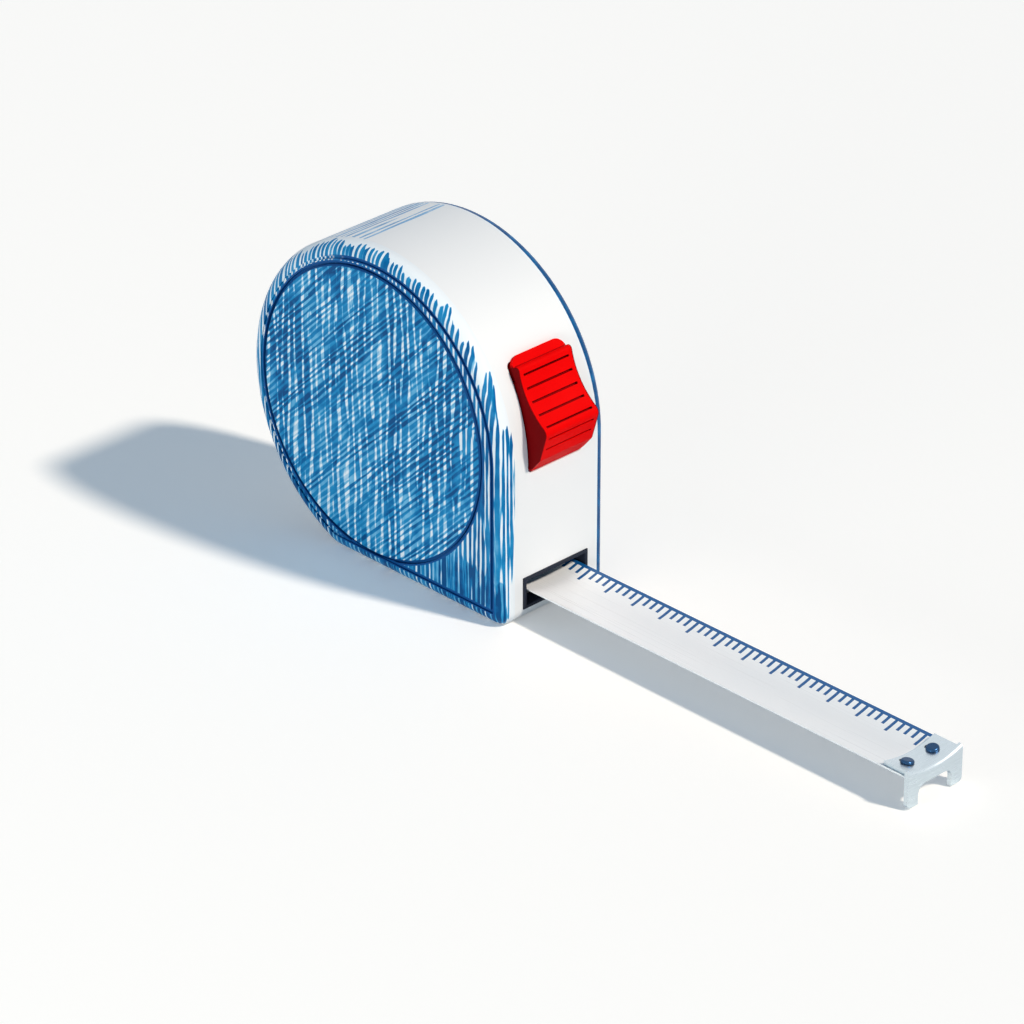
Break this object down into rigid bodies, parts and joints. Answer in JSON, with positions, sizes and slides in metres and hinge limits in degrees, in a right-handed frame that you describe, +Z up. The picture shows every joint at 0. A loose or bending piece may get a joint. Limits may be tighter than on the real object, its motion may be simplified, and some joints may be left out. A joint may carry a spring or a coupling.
{
  "type": "tape measure",
  "caption": "Pocket tape measure with a round-backed case, blue sides, a red thumb lock and a white concave blade drawn out to a riveted end hook.",
  "frame": {"origin": "on the base plane at mid width, straight below the reel's axis", "axes": "+X the way the blade comes out, +Y to the side with the belt clip, +Z up"},
  "size_m": [0.1483, 0.0281, 0.0604],
  "materials": {
    "case_white": "satin",
    "cover_blue": "satin",
    "disc_blue": "satin",
    "lock_red": "satin",
    "bumper_rubber": "matte",
    "blade_white": "lacquered",
    "hook_steel": "plated",
    "fastener_steel": "plated",
    "spring_steel": "oiled",
    "clip_steel": "plated",
    "reel_black": "moulded",
    "post_nylon": "moulded"
  },
  "bodies": {
    "case": {"case_band": "case_white", "right_cover": "cover_blue", "left_cover": "cover_blue", "right_side_disc": "disc_blue", "left_side_disc": "disc_blue", "case_screws": "fastener_steel", "centre_post": "post_nylon", "thrust_washers": "post_nylon", "mouth_bumper": "bumper_rubber", "detent_spring": "spring_steel", "belt_clip": "clip_steel", "belt_clip_screw": "fastener_steel"},
    "reel": {"reel_drum": "reel_black", "reel_flange": "reel_black", "return_spring": "spring_steel", "blade_coil": "blade_white"},
    "blade": {"blade_strip": "blade_white", "hook_rivets": "fastener_steel"},
    "hook": {"end_hook": "hook_steel"},
    "lock": {"lock_button": "lock_red", "brake_tongue": "spring_steel", "brake_pad": "bumper_rubber"}
  },
  "joints": [
    {"name": "blade_slide", "type": "slide", "parent": "case", "child": "blade", "axis": [1, 0, 0], "range_m": [-0.0846, 0.025], "deforming": ["blade_strip"]},
    {"name": "reel_spin", "type": "hinge", "parent": "case", "child": "reel", "pos_m": [0, 0, 0.0292], "axis": [0, -1, 0], "range_deg": [-200, 59.5], "deforming": ["return_spring"]},
    {"name": "hook_float", "type": "slide", "parent": "blade", "child": "hook", "axis": [1, 0, 0], "range_m": [0, 0.0009]},
    {"name": "lock_slide", "type": "hinge", "parent": "case", "child": "lock", "pos_m": [0, 0, 0.0292], "axis": [0, -1, 0], "range_deg": [0, 5.5]}
  ],
  "couplings": [
    {"joint": "reel_spin", "follows": "blade_slide", "rad_per_m": 41.15}
  ]
}
